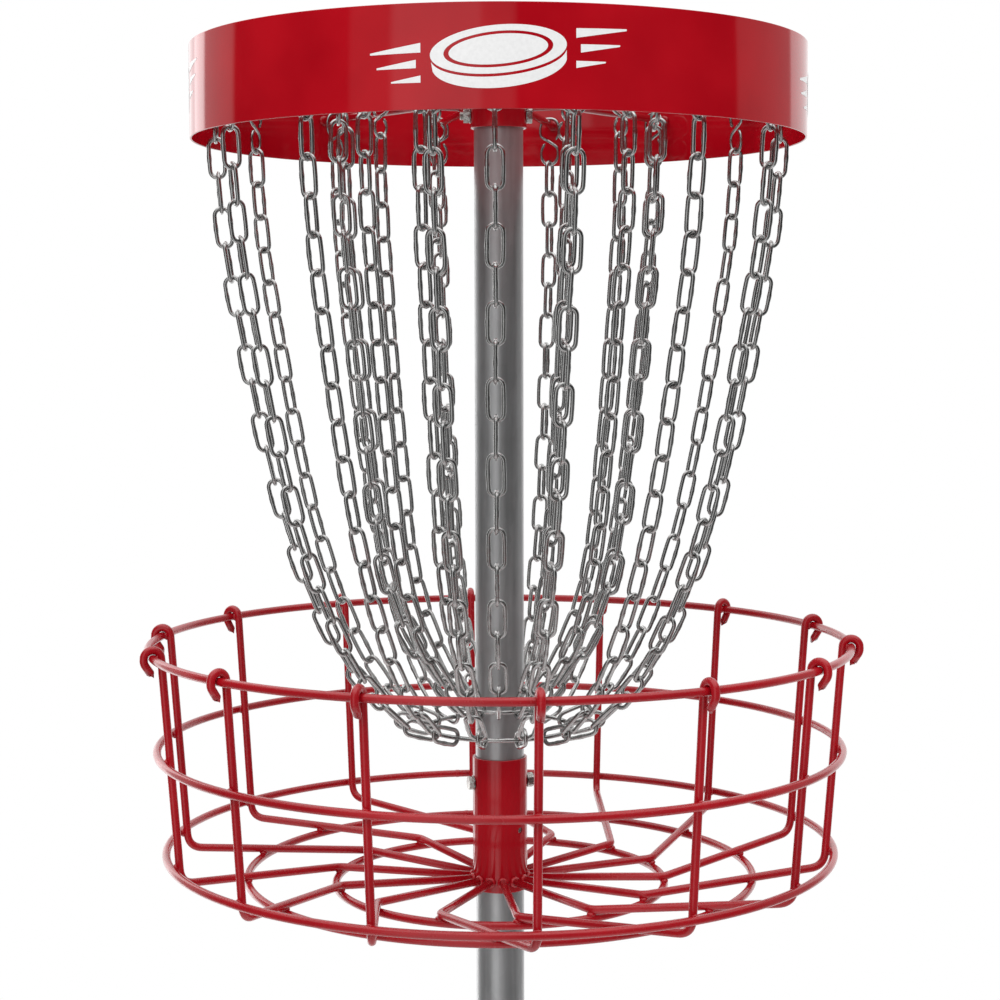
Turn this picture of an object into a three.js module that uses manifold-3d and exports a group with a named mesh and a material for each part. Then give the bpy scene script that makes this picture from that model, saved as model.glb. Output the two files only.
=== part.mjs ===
// Disc golf target: a wire tray and a banded chain rack on one galvanised pole that stands in a ground sleeve.
// Millimetres, +Z up. The origin is on the pole's axis at ground level, and the front is towards -Y.
// Azimuths are in degrees from the front, positive towards +X.
import * as THREE from "three";
import { mergeVertices } from "three/addons/utils/BufferGeometryUtils.js";
import Module from "manifold-3d";

const wasm = await Module();
wasm.setup();

// Heights. Everything on the pole is measured from the centre of the tray's rim wire.
const RIM_Z = 820; // above the ground
const GAP = 0.3; // left wherever two pieces are welded or rest on each other
const UPRIGHTS = 14; // tray wires, rack arms, and chains in each row
const PITCH_DEG = 360 / UPRIGHTS;

// Pole, sleeve and lock collar
const POLE_R = 24.15;
const POLE_WALL = 3.2;
const POLE_BOTTOM_Z = -396;
const POLE_TOP_Z = RIM_Z + 560;
const SLEEVE_R = 30.15;
const SLEEVE_BORE_R = 26.25;
const SLEEVE_FLOOR = 4;
const SLEEVE_TOP_Z = 25;
const TAB_REACH = 60;
const TAB_WIDTH = 26;
const TAB_THICK = 6;
const TAB_HOLE_R = 5.5;
const TAB_HOLE_X = 47;
const COLLAR_LOCK_R = 32;
const COLLAR_LOCK_HEIGHT = 34;

// Tray
const WIRE_R = 4;
const WIRE_SIDES = 6;
const LAP = 2 * WIRE_R + GAP; // centre distance of two wires welded across each other
const TRAY_AZ = 5.6; // azimuth of the first tray wire
const RIM_R = 347;
const MIDDLE_R = 339.8;
const MIDDLE_Z = RIM_Z - 101.5;
const LOWER_R = 332.3;
const LOWER_Z = RIM_Z - 203.8;
const HOOK_TAIL_R = 348;
const HOOK_TAIL_DROP = 15.5;
const HOOK_STEPS = 6;
const FOOT_R = 322.9;
const FOOT_Z = RIM_Z - 219;
const FOOT_TRIM = 15;
const KINK_R = 165;
const KINK_Z = RIM_Z - 234.5;
const KINK_TRIM = 7;
const FLOOR_END_Z = RIM_Z - 239;
const OUTER_FLOOR_R = 253;
const BEND_STEPS = 4;

// Tray collar, its through bolt and its set screw
const TRAY_COLLAR_R = 27.25;
const TRAY_COLLAR_BORE_R = POLE_R + GAP;
const TRAY_COLLAR_TOP_Z = RIM_Z - 116;
const TRAY_COLLAR_BOTTOM_Z = RIM_Z - 250;
const TRAY_BOLT_Z = RIM_Z - 142;
const TRAY_BOLT_AZ = -75;
const SCREW_Z = RIM_Z - 188;
const SCREW_AZ = 48;
const SCREW_R = 2.8;

// Bolts, both of one size
const BOLT_R = 4;
const BOLT_HOLE_R = 4.6;
const HEX_R = 7.5;
const HEAD_HEIGHT = 5.5;
const NUT_HEIGHT = 6.5;
const BOLT_TAIL = 4;

// Rack: hub, arms, inner hoop, and the sheet band round the arms' ends
const HUB_R = 27.5;
const HUB_BOTTOM_Z = RIM_Z + 507;
const HUB_TOP_Z = RIM_Z + 566;
const HUB_BORE_TOP_Z = RIM_Z + 561;
const RACK_BOLT_Z = RIM_Z + 519.5;
const ARM_Z = RIM_Z + 538.5;
const ARM_AZ = 13.9; // azimuth of the first arm
const ARM_START_R = 25.8;
const HOOP_R = 158;
const HOOP_RISE = 6;
const BAND_R = 300;
const BAND_SHEET = 2;
const BAND_BOTTOM_Z = RIM_Z + 494.2;
const BAND_TOP_Z = RIM_Z + 583;

// Chains: [radius, height above the rim] of points down each row, from the hook to the last link
const CHAIN_R = 3.6;
const CHAIN_SIDES = 6;
const CHAIN_STEPS = 10;
const OUTER_CHAIN = [
  [277, 532.5], [277, 488], [268.5, 393], [252, 300], [230, 190], [206.5, 101], [175, 20], [147, -30],
  [115, -67], [97, -81], [79, -86.5],
];
const INNER_CHAIN_AZ = -1.2;
const INNER_CHAIN = [
  [158, 538.5], [158, 488], [154, 399], [147, 327], [137.5, 232], [129, 160], [119.5, 89], [103, 29.5],
  [85, -6], [64, -38], [45.5, -59.5],
];
const CHAIN_RING_WIRE_R = 2.25;
const OUTER_RING_R = 72;
const OUTER_RING_Z = RIM_Z - 86.5;
const INNER_RING_R = 40;
const INNER_RING_Z = RIM_Z - 65;

// Facets round each kind of round thing
const TUBE_SIDES = 28;
const BIG_RING_SEGMENTS = 5 * UPRIGHTS;
const FLOOR_RING_SEGMENTS = 4 * UPRIGHTS;
const SMALL_RING_SEGMENTS = 36;
const HOLE_SIDES = 12;

const POWDER_RED = { color: 0xa50a1c, roughness: 0.3, metalness: 0.1 };
const GALVANISED = { color: 0x8f9193, roughness: 0.45, metalness: 0.9 };
const ZINC = { color: 0x7d7d7a, roughness: 0.3, metalness: 0.95 };
const GROUND_STEEL = { color: 0x6f7274, roughness: 0.6, metalness: 0.8 };

const radians = THREE.MathUtils.degToRad;

// A point at radius r, azimuth az and height z.
function polar(r, az, z) {
  return new THREE.Vector3(r * Math.sin(radians(az)), -r * Math.cos(radians(az)), z);
}

// Only positions, shared vertices merged, faces turned outwards.
function tidy(geometry) {
  const bare = new THREE.BufferGeometry();
  bare.setAttribute("position", geometry.getAttribute("position").clone());
  if (geometry.index) bare.setIndex(geometry.index.clone());
  const merged = mergeVertices(bare, 1e-3);
  const p = merged.attributes.position;
  const index = merged.index.array;
  const [a, b, c] = [new THREE.Vector3(), new THREE.Vector3(), new THREE.Vector3()];
  let volume = 0;
  for (let i = 0; i < index.length; i += 3) {
    a.fromBufferAttribute(p, index[i]);
    b.fromBufferAttribute(p, index[i + 1]);
    c.fromBufferAttribute(p, index[i + 2]);
    volume += a.dot(b.cross(c));
  }
  if (volume < 0)
    for (let i = 0; i < index.length; i += 3) [index[i + 1], index[i + 2]] = [index[i + 2], index[i + 1]];
  return merged;
}

function solid(geometry) {
  const g = tidy(geometry);
  return new wasm.Manifold(
    new wasm.Mesh({
      numProp: 3,
      vertProperties: new Float32Array(g.attributes.position.array),
      triVerts: new Uint32Array(g.index.array),
    }),
  );
}

function geometryOf(manifold) {
  const mesh = manifold.getMesh();
  const g = new THREE.BufferGeometry();
  g.setAttribute("position", new THREE.BufferAttribute(new Float32Array(mesh.vertProperties), mesh.numProp));
  g.setIndex(new THREE.BufferAttribute(new Uint32Array(mesh.triVerts), 1));
  return g;
}

// A ring of any closed [radius, z] profile about the Z axis. az puts one of its vertices at that azimuth.
function revolve(profile, segments, az = 0) {
  const points = profile.concat([profile[0]]).map(([r, z]) => new THREE.Vector2(r, z));
  return tidy(new THREE.LatheGeometry(points, segments, radians(az), 2 * Math.PI).rotateX(Math.PI / 2));
}

function pipe(outer, inner, bottom, top, segments = TUBE_SIDES) {
  return revolve([[inner, bottom], [outer, bottom], [outer, top], [inner, top]], segments);
}

// A cup or lid: a tube closed at one end by a flat disc.
function cup(outer, inner, open, closed, floor) {
  const points = [[0, closed], [outer, closed], [outer, open], [inner, open], [inner, floor], [0, floor]];
  const profile = points.map(([r, z]) => new THREE.Vector2(r, z));
  return tidy(new THREE.LatheGeometry(profile, TUBE_SIDES).rotateX(Math.PI / 2));
}

function wireRing(radius, z, wire, segments, az, sides = WIRE_SIDES) {
  const profile = [];
  for (let i = 0; i < sides; i++) {
    const a = (2 * Math.PI * i) / sides;
    profile.push([radius + wire * Math.cos(a), z + wire * Math.sin(a)]);
  }
  return revolve(profile, segments, az);
}

// A route that passes through every listed point, one per step.
class Route extends THREE.Curve {
  constructor(points) {
    super();
    this.points = points;
  }
  getPoint(t, target = new THREE.Vector3()) {
    const at = Math.min(Math.max(t, 0), 1) * (this.points.length - 1);
    const i = Math.min(Math.floor(at), this.points.length - 2);
    return target.lerpVectors(this.points[i], this.points[i + 1], at - i);
  }
  getPointAt(u, target) {
    return this.getPoint(u, target);
  }
  getTangentAt(u, target = new THREE.Vector3()) {
    const last = this.points.length - 1;
    const i = Math.round(u * last);
    const before = this.points[Math.max(i - 1, 0)];
    const here = this.points[i];
    const after = this.points[Math.min(i + 1, last)];
    const into = here.clone().sub(before).normalize();
    const out = after.clone().sub(here).normalize();
    return target.copy(into).add(out).normalize();
  }
}

function tubeAlong(points, radius, sides) {
  const section = new THREE.Shape();
  for (let i = 0; i < sides; i++) {
    const a = (2 * Math.PI * i) / sides;
    section[i ? "lineTo" : "moveTo"](radius * Math.cos(a), radius * Math.sin(a));
  }
  section.closePath();
  const route = new Route(points);
  return tidy(new THREE.ExtrudeGeometry(section, { steps: points.length - 1, extrudePath: route, bevelEnabled: false }));
}

// The points of a rounded corner, trimmed back by the same length along both legs.
function corner(from, at, to, trim) {
  const start = at.clone().add(from.clone().sub(at).setLength(trim));
  const end = at.clone().add(to.clone().sub(at).setLength(trim));
  return new THREE.QuadraticBezierCurve3(start, at, end).getPoints(BEND_STEPS);
}

// A cylinder lying along the radius at azimuth az, from radius a to radius b.
function radialRod(radius, a, b, az, z, sides) {
  const rod = new THREE.CylinderGeometry(radius, radius, b - a, sides);
  rod.rotateZ(Math.PI).translate(0, -(a + b) / 2, 0);
  return tidy(rod.rotateZ(radians(az)).translate(0, 0, z));
}

// A hexagon bolt through the pole: head at azimuth az, nut on the far side.
function throughBolt(az, z, sleeveR) {
  const seat = sleeveR + GAP;
  const shank = radialRod(BOLT_R, -(seat + NUT_HEIGHT + BOLT_TAIL), seat + HEAD_HEIGHT / 2, az, z, HOLE_SIDES);
  const head = radialRod(HEX_R, seat, seat + HEAD_HEIGHT, az, z, 6);
  const nut = radialRod(HEX_R, -(seat + NUT_HEIGHT), -seat, az, z, 6);
  return geometryOf(solid(shank).add(solid(head)).add(solid(nut)));
}

function boltHole(az, z) {
  return solid(radialRod(BOLT_HOLE_R, -2 * POLE_R, 2 * POLE_R, az, z, HOLE_SIDES));
}

function pole() {
  const tube = solid(pipe(POLE_R, POLE_R - POLE_WALL, POLE_BOTTOM_Z, POLE_TOP_Z));
  return geometryOf(tube.subtract(boltHole(TRAY_BOLT_AZ, TRAY_BOLT_Z)).subtract(boltHole(90, RACK_BOLT_Z)));
}

// A flat tab towards +X with the padlock's hole through it.
function tab(bottom, startX) {
  const plate = new THREE.BoxGeometry(TAB_REACH - startX, TAB_WIDTH, TAB_THICK);
  plate.translate((TAB_REACH + startX) / 2, 0, bottom + TAB_THICK / 2);
  return solid(plate);
}

function tabHole(bottom) {
  const hole = new THREE.CylinderGeometry(TAB_HOLE_R, TAB_HOLE_R, 3 * TAB_THICK, HOLE_SIDES).rotateX(Math.PI / 2);
  return solid(hole.translate(TAB_HOLE_X, 0, bottom + TAB_THICK / 2));
}

function groundSleeve() {
  const floorTop = POLE_BOTTOM_Z - GAP;
  const body = solid(cup(SLEEVE_R, SLEEVE_BORE_R, SLEEVE_TOP_Z, floorTop - SLEEVE_FLOOR, floorTop));
  const bottom = SLEEVE_TOP_Z - TAB_THICK;
  return geometryOf(body.add(tab(bottom, SLEEVE_R - 2)).subtract(tabHole(bottom)));
}

function lockCollar() {
  const bottom = SLEEVE_TOP_Z + GAP;
  const body = solid(pipe(COLLAR_LOCK_R, POLE_R + GAP, bottom, bottom + COLLAR_LOCK_HEIGHT));
  return geometryOf(body.add(tab(bottom, COLLAR_LOCK_R - 3)).subtract(tabHole(bottom)));
}

function trayCollar() {
  const tube = solid(pipe(TRAY_COLLAR_R, TRAY_COLLAR_BORE_R, TRAY_COLLAR_BOTTOM_Z, TRAY_COLLAR_TOP_Z));
  const screwHole = solid(radialRod(SCREW_R + GAP, POLE_R - 3, TRAY_COLLAR_R + 3, SCREW_AZ, SCREW_Z, HOLE_SIDES));
  return geometryOf(tube.subtract(boltHole(TRAY_BOLT_AZ, TRAY_BOLT_Z)).subtract(screwHole));
}

function rack() {
  let all = solid(cup(HUB_R, TRAY_COLLAR_BORE_R, HUB_BOTTOM_Z, HUB_TOP_Z, HUB_BORE_TOP_Z));
  all = all.add(solid(wireRing(HOOP_R, ARM_Z + HOOP_RISE, WIRE_R, FLOOR_RING_SEGMENTS, ARM_AZ)));
  for (let k = 0; k < UPRIGHTS; k++) {
    const az = ARM_AZ + k * PITCH_DEG;
    all = all.add(solid(radialRod(WIRE_R, ARM_START_R, BAND_R - BAND_SHEET - 2 * GAP, az, ARM_Z, WIRE_SIDES)));
  }
  return geometryOf(all.subtract(boltHole(90, RACK_BOLT_Z)));
}

// One tray wire: hooked over the rim, down the wall, then across the floor to a kink and in to the collar.
// The floor part leans back by one pitch, so that the wires lie like the blades of a fan.
function trayWire(k) {
  const az = TRAY_AZ + k * PITCH_DEG;
  const kinkAz = az - PITCH_DEG;
  const points = [polar(HOOK_TAIL_R, az, RIM_Z - HOOK_TAIL_DROP), polar(RIM_R + LAP, az, RIM_Z - 2)];
  for (let i = 1; i <= HOOK_STEPS; i++) {
    const a = (Math.PI * i) / HOOK_STEPS;
    points.push(polar(RIM_R + LAP * Math.cos(a), az, RIM_Z + LAP * Math.sin(a)));
  }
  const lower = polar(LOWER_R - LAP, az, LOWER_Z);
  const foot = polar(FOOT_R, az, FOOT_Z);
  const kink = polar(KINK_R, kinkAz, KINK_Z);
  const end = polar(TRAY_COLLAR_R + GAP, kinkAz, FLOOR_END_Z);
  points.push(lower, ...corner(lower, foot, kink, FOOT_TRIM - 1), ...corner(foot, kink, end, KINK_TRIM), end);
  return tubeAlong(points, WIRE_R, WIRE_SIDES);
}

// Height of the floor part of a tray wire where it crosses the circle of radius r.
function floorHeightAt(r) {
  const foot = polar(FOOT_R, 0, FOOT_Z);
  const kink = polar(KINK_R, -PITCH_DEG, KINK_Z);
  const across = new THREE.Line3(foot, kink);
  const at = new THREE.Vector3();
  let [low, high] = [0, 1];
  for (let i = 0; i < 40; i++) {
    const mid = (low + high) / 2;
    across.at(mid, at);
    if (Math.hypot(at.x, at.y) > r) low = mid;
    else high = mid;
  }
  return at.z;
}

function chain(profile, az) {
  const through = profile.map(([r, h]) => polar(r, az, RIM_Z + h));
  const curve = new THREE.CatmullRomCurve3(through, false, "centripetal");
  return tubeAlong(curve.getSpacedPoints(CHAIN_STEPS), CHAIN_R, CHAIN_SIDES);
}

const group = new THREE.Group();

function piece(name, geometry, finish) {
  const material = new THREE.MeshStandardMaterial(finish);
  material.name = name;
  const mesh = new THREE.Mesh(geometry, material);
  mesh.name = name;
  group.add(mesh);
}

piece("ground_sleeve", groundSleeve(), GROUND_STEEL);
piece("lock_collar", lockCollar(), GROUND_STEEL);
piece("pole", pole(), GALVANISED);
piece("top_rack", rack(), POWDER_RED);
const bandProfile = [
  [BAND_R - BAND_SHEET, BAND_BOTTOM_Z], [BAND_R, BAND_BOTTOM_Z], [BAND_R, BAND_TOP_Z],
  [BAND_R - BAND_SHEET, BAND_TOP_Z],
];
piece("top_band", revolve(bandProfile, BIG_RING_SEGMENTS, ARM_AZ), POWDER_RED);
piece("rack_bolt", throughBolt(90, RACK_BOLT_Z, HUB_R), ZINC);
piece("tray_collar", trayCollar(), POWDER_RED);
piece("tray_bolt", throughBolt(TRAY_BOLT_AZ, TRAY_BOLT_Z, TRAY_COLLAR_R), ZINC);
const screw = radialRod(SCREW_R, POLE_R + GAP / 2, TRAY_COLLAR_R - 1, SCREW_AZ, SCREW_Z, HOLE_SIDES);
piece("tray_set_screw", screw, ZINC);
piece("rim_ring", wireRing(RIM_R, RIM_Z, WIRE_R, BIG_RING_SEGMENTS, TRAY_AZ), POWDER_RED);
piece("middle_ring", wireRing(MIDDLE_R, MIDDLE_Z, WIRE_R, BIG_RING_SEGMENTS, TRAY_AZ), POWDER_RED);
piece("lower_ring", wireRing(LOWER_R, LOWER_Z, WIRE_R, BIG_RING_SEGMENTS, TRAY_AZ), POWDER_RED);
const outerFloorZ = floorHeightAt(OUTER_FLOOR_R) - LAP;
piece("outer_floor_ring", wireRing(OUTER_FLOOR_R, outerFloorZ, WIRE_R, FLOOR_RING_SEGMENTS, TRAY_AZ), POWDER_RED);
const innerFloorZ = KINK_Z - LAP;
piece("inner_floor_ring", wireRing(KINK_R, innerFloorZ, WIRE_R, FLOOR_RING_SEGMENTS, TRAY_AZ), POWDER_RED);
for (let k = 0; k < UPRIGHTS; k++) {
  const number = String(k + 1).padStart(2, "0");
  piece(`tray_wire_${number}`, trayWire(k), POWDER_RED);
}
for (let k = 0; k < UPRIGHTS; k++) {
  const number = String(k + 1).padStart(2, "0");
  piece(`outer_chain_${number}`, chain(OUTER_CHAIN, ARM_AZ + k * PITCH_DEG), ZINC);
  piece(`inner_chain_${number}`, chain(INNER_CHAIN, INNER_CHAIN_AZ + k * PITCH_DEG), ZINC);
}
const outerRing = wireRing(OUTER_RING_R, OUTER_RING_Z, CHAIN_RING_WIRE_R, SMALL_RING_SEGMENTS, ARM_AZ);
piece("outer_chain_ring", outerRing, ZINC);
const innerRing = wireRing(INNER_RING_R, INNER_RING_Z, CHAIN_RING_WIRE_R, SMALL_RING_SEGMENTS, INNER_CHAIN_AZ);
piece("inner_chain_ring", innerRing, ZINC);

export default group;
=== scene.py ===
import math
import random

import bmesh
import bpy
import numpy as np
from mathutils import Matrix, Vector


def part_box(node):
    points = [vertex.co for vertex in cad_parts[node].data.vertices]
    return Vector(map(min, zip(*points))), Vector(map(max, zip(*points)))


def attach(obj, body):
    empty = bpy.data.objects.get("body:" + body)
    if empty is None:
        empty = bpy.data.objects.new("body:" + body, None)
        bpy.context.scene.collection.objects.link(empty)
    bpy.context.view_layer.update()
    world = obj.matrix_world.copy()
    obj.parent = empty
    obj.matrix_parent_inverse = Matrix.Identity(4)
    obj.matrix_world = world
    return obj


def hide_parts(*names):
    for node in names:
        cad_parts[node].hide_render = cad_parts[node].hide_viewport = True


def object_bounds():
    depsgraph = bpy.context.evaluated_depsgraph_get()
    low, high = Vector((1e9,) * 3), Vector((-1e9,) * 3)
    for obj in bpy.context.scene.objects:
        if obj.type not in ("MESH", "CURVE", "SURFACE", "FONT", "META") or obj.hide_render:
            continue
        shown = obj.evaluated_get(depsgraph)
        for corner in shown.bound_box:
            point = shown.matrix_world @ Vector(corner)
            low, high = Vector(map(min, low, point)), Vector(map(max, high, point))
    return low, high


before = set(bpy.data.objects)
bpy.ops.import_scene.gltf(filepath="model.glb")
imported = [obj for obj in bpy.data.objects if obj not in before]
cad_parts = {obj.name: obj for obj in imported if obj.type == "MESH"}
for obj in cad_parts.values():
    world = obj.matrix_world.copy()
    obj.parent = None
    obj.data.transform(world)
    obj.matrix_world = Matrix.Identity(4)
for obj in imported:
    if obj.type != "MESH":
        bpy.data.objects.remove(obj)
cad_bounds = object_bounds()
MM = 0.001


# ---------------------------------------------------------------- dimensions, from the frame
def mid(node, axis):
    low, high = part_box(node)
    return (low[axis] + high[axis]) / 2


RIM_Z = mid("rim_ring", 2)
WIRE = 4 * MM
N = 14
STEP = 2 * math.pi / N
TRAY_AZ = math.radians(5.6)
ARM_AZ = math.radians(13.9)
INNER_AZ = math.radians(-1.2)
LAP = 8.3 * MM
RIM_R, MIDDLE_R, LOWER_R = 347 * MM, 339.8 * MM, 332.3 * MM
MIDDLE_Z, LOWER_Z = mid("middle_ring", 2), mid("lower_ring", 2)
OUTER_FLOOR_R, INNER_FLOOR_R = 253 * MM, 165 * MM
OUTER_FLOOR_Z, INNER_FLOOR_Z = mid("outer_floor_ring", 2), mid("inner_floor_ring", 2)
ARM_Z = RIM_Z + 538.5 * MM
HOOP_R, HOOP_Z = 158 * MM, ARM_Z + 6 * MM
BAND_R, BAND_SHEET = 300 * MM, 2 * MM
SEAM_AZ = math.radians(225)
BAND_LOW, BAND_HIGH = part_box("top_band")[0][2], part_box("top_band")[1][2]
POLE_R, POLE_WALL = 24.15 * MM, 3.2 * MM
COLLAR_R, COLLAR_BORE = 27.25 * MM, 24.45 * MM
HUB_R = 27.5 * MM
OUTER_RING_R, OUTER_RING_Z = 72 * MM, mid("outer_chain_ring", 2)
INNER_RING_R, INNER_RING_Z = 40 * MM, mid("inner_chain_ring", 2)
CHAIN_RING_WIRE = 2.25 * MM

# Chain and S-hook
LINK_WIRE = 2.1 * MM
LINK_WIDTH = 18.8 * MM
LINK_PITCH = 34.7 * MM
HOOK_WIRE = 1.65 * MM
HOOK_HALF_HEIGHT = 25.3 * MM
INNER_HOOK_HALF_HEIGHT = 21.05 * MM
HOOK_HALF_WIDTH = 9.3 * MM
HOOK_ROOM = 1.3 * MM
HOOK_GAP = 0.4 * MM
OUTER_PROFILE = [(277, 532.5), (277, 488), (268.5, 393), (252, 300), (230, 190), (206.5, 101), (175, 20),
                 (147, -30), (115, -67), (97, -81), (72, -88)]
INNER_PROFILE = [(158, 538.5), (158, 488), (154, 399), (147, 327), (137.5, 232), (129, 160), (119.5, 89),
                 (103, 29.5), (85, -6), (64, -38), (40, -66)]


def polar(r, az, z):
    return np.array([r * math.sin(az), -r * math.cos(az), z])


def unit(v):
    v = np.asarray(v, float)
    return v / (np.linalg.norm(v) or 1)


# ---------------------------------------------------------------- mesh building
class Build:
    """Gathers vertices and faces, then makes one object."""

    def __init__(self):
        self.v, self.f, self.m = [], [], []
        self.count = 0

    def add(self, verts, faces, material=0):
        base = self.count
        self.v.append(np.asarray(verts, float))
        self.f.extend([tuple(i + base for i in face) for face in faces])
        self.m.extend([material] * len(faces))
        self.count += len(verts)

    def make(self, name, materials, body, nodes=(), smooth=True, angle=None):
        mesh = bpy.data.meshes.new(name)
        mesh.from_pydata(np.vstack(self.v).tolist(), [], self.f)
        mesh.update()
        for m in materials:
            mesh.materials.append(m)
        mesh.polygons.foreach_set("material_index", self.m)
        mesh.polygons.foreach_set("use_smooth", [smooth] * len(mesh.polygons))
        o = bpy.data.objects.new(name, mesh)
        bpy.context.scene.collection.objects.link(o)
        if angle:
            sharpen(o, angle)
        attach(o, body)
        if nodes:
            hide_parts(*nodes)
        return o


def sharpen(o, degrees):
    """Edges that turn by more than this many degrees stay crisp."""
    bm = bmesh.new()
    bm.from_mesh(o.data)
    bmesh.ops.recalc_face_normals(bm, faces=bm.faces)
    for e in bm.edges:
        e.smooth = not (len(e.link_faces) == 2 and e.calc_face_angle(0) > math.radians(degrees))
    bm.to_mesh(o.data)
    bm.free()


def sweep(points, radius, sides=14, closed=False, scales=None, up=None):
    """A round tube along points, with mitred bends. radius may be one number or one per point."""
    p = np.asarray(points, float)
    n = len(p)
    if closed:
        tangents = [unit(unit(p[(i + 1) % n] - p[i]) + unit(p[i] - p[i - 1])) for i in range(n)]
    else:
        tangents = []
        for i in range(n):
            a = unit(p[i] - p[i - 1]) if i else unit(p[1] - p[0])
            b = unit(p[i + 1] - p[i]) if i < n - 1 else unit(p[-1] - p[-2])
            tangents.append(unit(a + b))
    t0 = tangents[0]
    side = np.asarray(up, float) if up is not None else (np.array([0, 0, 1.0]) if abs(t0[2]) < 0.9 else np.array([1.0, 0, 0]))
    normal = unit(side - t0 * np.dot(side, t0))
    normals = [normal]
    for i in range(1, n):
        t = tangents[i]
        normal = unit(normal - t * np.dot(normal, t))
        normals.append(normal)
    twist = 0.0
    if closed:
        last = unit(normals[-1] - t0 * np.dot(normals[-1], t0))
        b0 = np.cross(t0, normals[0])
        twist = -math.atan2(np.dot(last, b0), np.dot(last, normals[0]))
    radii = np.full(n, radius, float) if np.isscalar(radius) else np.asarray(radius, float)
    verts, angles = [], np.arange(sides) * 2 * math.pi / sides
    for i in range(n):
        t, nn = tangents[i], normals[i]
        bb = np.cross(t, nn)
        a = angles + twist * i / n
        verts.append(p[i] + radii[i] * (np.outer(np.cos(a), nn) + np.outer(np.sin(a), bb)))
    verts = np.vstack(verts)
    faces = []
    for i in range(n if closed else n - 1):
        j = (i + 1) % n
        for k in range(sides):
            l = (k + 1) % sides
            faces.append((i * sides + k, i * sides + l, j * sides + l, j * sides + k))
    if not closed:
        faces.append(tuple(range(sides))[::-1])
        faces.append(tuple((n - 1) * sides + k for k in range(sides)))
    return verts, faces


def rounded_ends(points, radius, at_start=True, at_end=True, round_by=0.5, steps=4):
    """Points and radii of a tube whose cut ends are rounded over by this share of the radius."""
    pts, radii = [np.asarray(q, float) for q in points], None
    r = round_by * radius
    head, tail, head_r, tail_r = [], [], [], []
    if at_start:
        d = unit(pts[1] - pts[0])
        for i in range(steps):
            a = math.pi / 2 * i / steps
            head.append(pts[0] + d * r * (1 - math.sin(a)) * 0 + d * (r * (1 - math.cos(math.pi / 2 - a))))
            head_r.append(radius - r + r * math.sin(a))
        pts[0] = pts[0] + d * r
    if at_end:
        d = unit(pts[-2] - pts[-1])
        for i in range(steps):
            a = math.pi / 2 * i / steps
            tail.append(pts[-1] + d * (r * (1 - math.cos(math.pi / 2 - a))))
            tail_r.append(radius - r + r * math.sin(a))
        pts[-1] = pts[-1] + d * r
    all_pts = head + pts + tail[::-1]
    radii = head_r + [radius] * len(pts) + tail_r[::-1]
    return np.array(all_pts), np.array(radii)


def catmull(points, per=8):
    """A centripetal Catmull-Rom curve through the points."""
    p = [np.asarray(q, float) for q in points]
    p = [2 * p[0] - p[1]] + p + [2 * p[-1] - p[-2]]
    out = []
    for i in range(1, len(p) - 2):
        p0, p1, p2, p3 = p[i - 1:i + 3]
        t0 = 0.0
        t1 = t0 + max(np.linalg.norm(p1 - p0), 1e-9) ** 0.5
        t2 = t1 + max(np.linalg.norm(p2 - p1), 1e-9) ** 0.5
        t3 = t2 + max(np.linalg.norm(p3 - p2), 1e-9) ** 0.5
        for k in range(per):
            t = t1 + (t2 - t1) * k / per
            a1 = (t1 - t) / (t1 - t0) * p0 + (t - t0) / (t1 - t0) * p1
            a2 = (t2 - t) / (t2 - t1) * p1 + (t - t1) / (t2 - t1) * p2
            a3 = (t3 - t) / (t3 - t2) * p2 + (t - t2) / (t3 - t2) * p3
            b1 = (t2 - t) / (t2 - t0) * a1 + (t - t0) / (t2 - t0) * a2
            b2 = (t3 - t) / (t3 - t1) * a2 + (t - t1) / (t3 - t1) * a3
            out.append((t2 - t) / (t2 - t1) * b1 + (t - t1) / (t2 - t1) * b2)
    out.append(p[-2])
    return np.array(out)


def lathe(profile, segments=96, az0=0.0):
    """A closed [radius, z] profile turned about Z. Points on the axis become one vertex."""
    verts, rows = [], []
    for r, z in profile:
        if r < 1e-7:
            rows.append([len(verts)] * segments)
            verts.append((0, 0, z))
        else:
            rows.append(list(range(len(verts), len(verts) + segments)))
            for k in range(segments):
                verts.append(tuple(polar(r, az0 + 2 * math.pi * k / segments, z)))
    faces = []
    count = len(profile)
    for i in range(count):
        a, b = rows[i], rows[(i + 1) % count]
        for k in range(segments):
            l = (k + 1) % segments
            ids = []
            for v in (a[k], a[l], b[l], b[k]):
                if v not in ids:
                    ids.append(v)
            if len(ids) > 2:
                faces.append(tuple(ids))
    return verts, faces


def bevelled(corners, radius, steps=3):
    """A closed [radius, z] profile with every corner rounded."""
    out = []
    n = len(corners)
    for i in range(n):
        a, b, c = (np.array(corners[j], float) for j in ((i - 1) % n, i, (i + 1) % n))
        if b[0] < 1e-7:
            out.append(tuple(b))
            continue
        la, lc = np.linalg.norm(a - b), np.linalg.norm(c - b)
        cut = min(radius, 0.45 * la, 0.45 * lc)
        s, e = b + (a - b) / la * cut, b + (c - b) / lc * cut
        for k in range(steps + 1):
            t = k / steps
            out.append(tuple((1 - t) ** 2 * s + 2 * t * (1 - t) * b + t * t * e))
    return out


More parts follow.
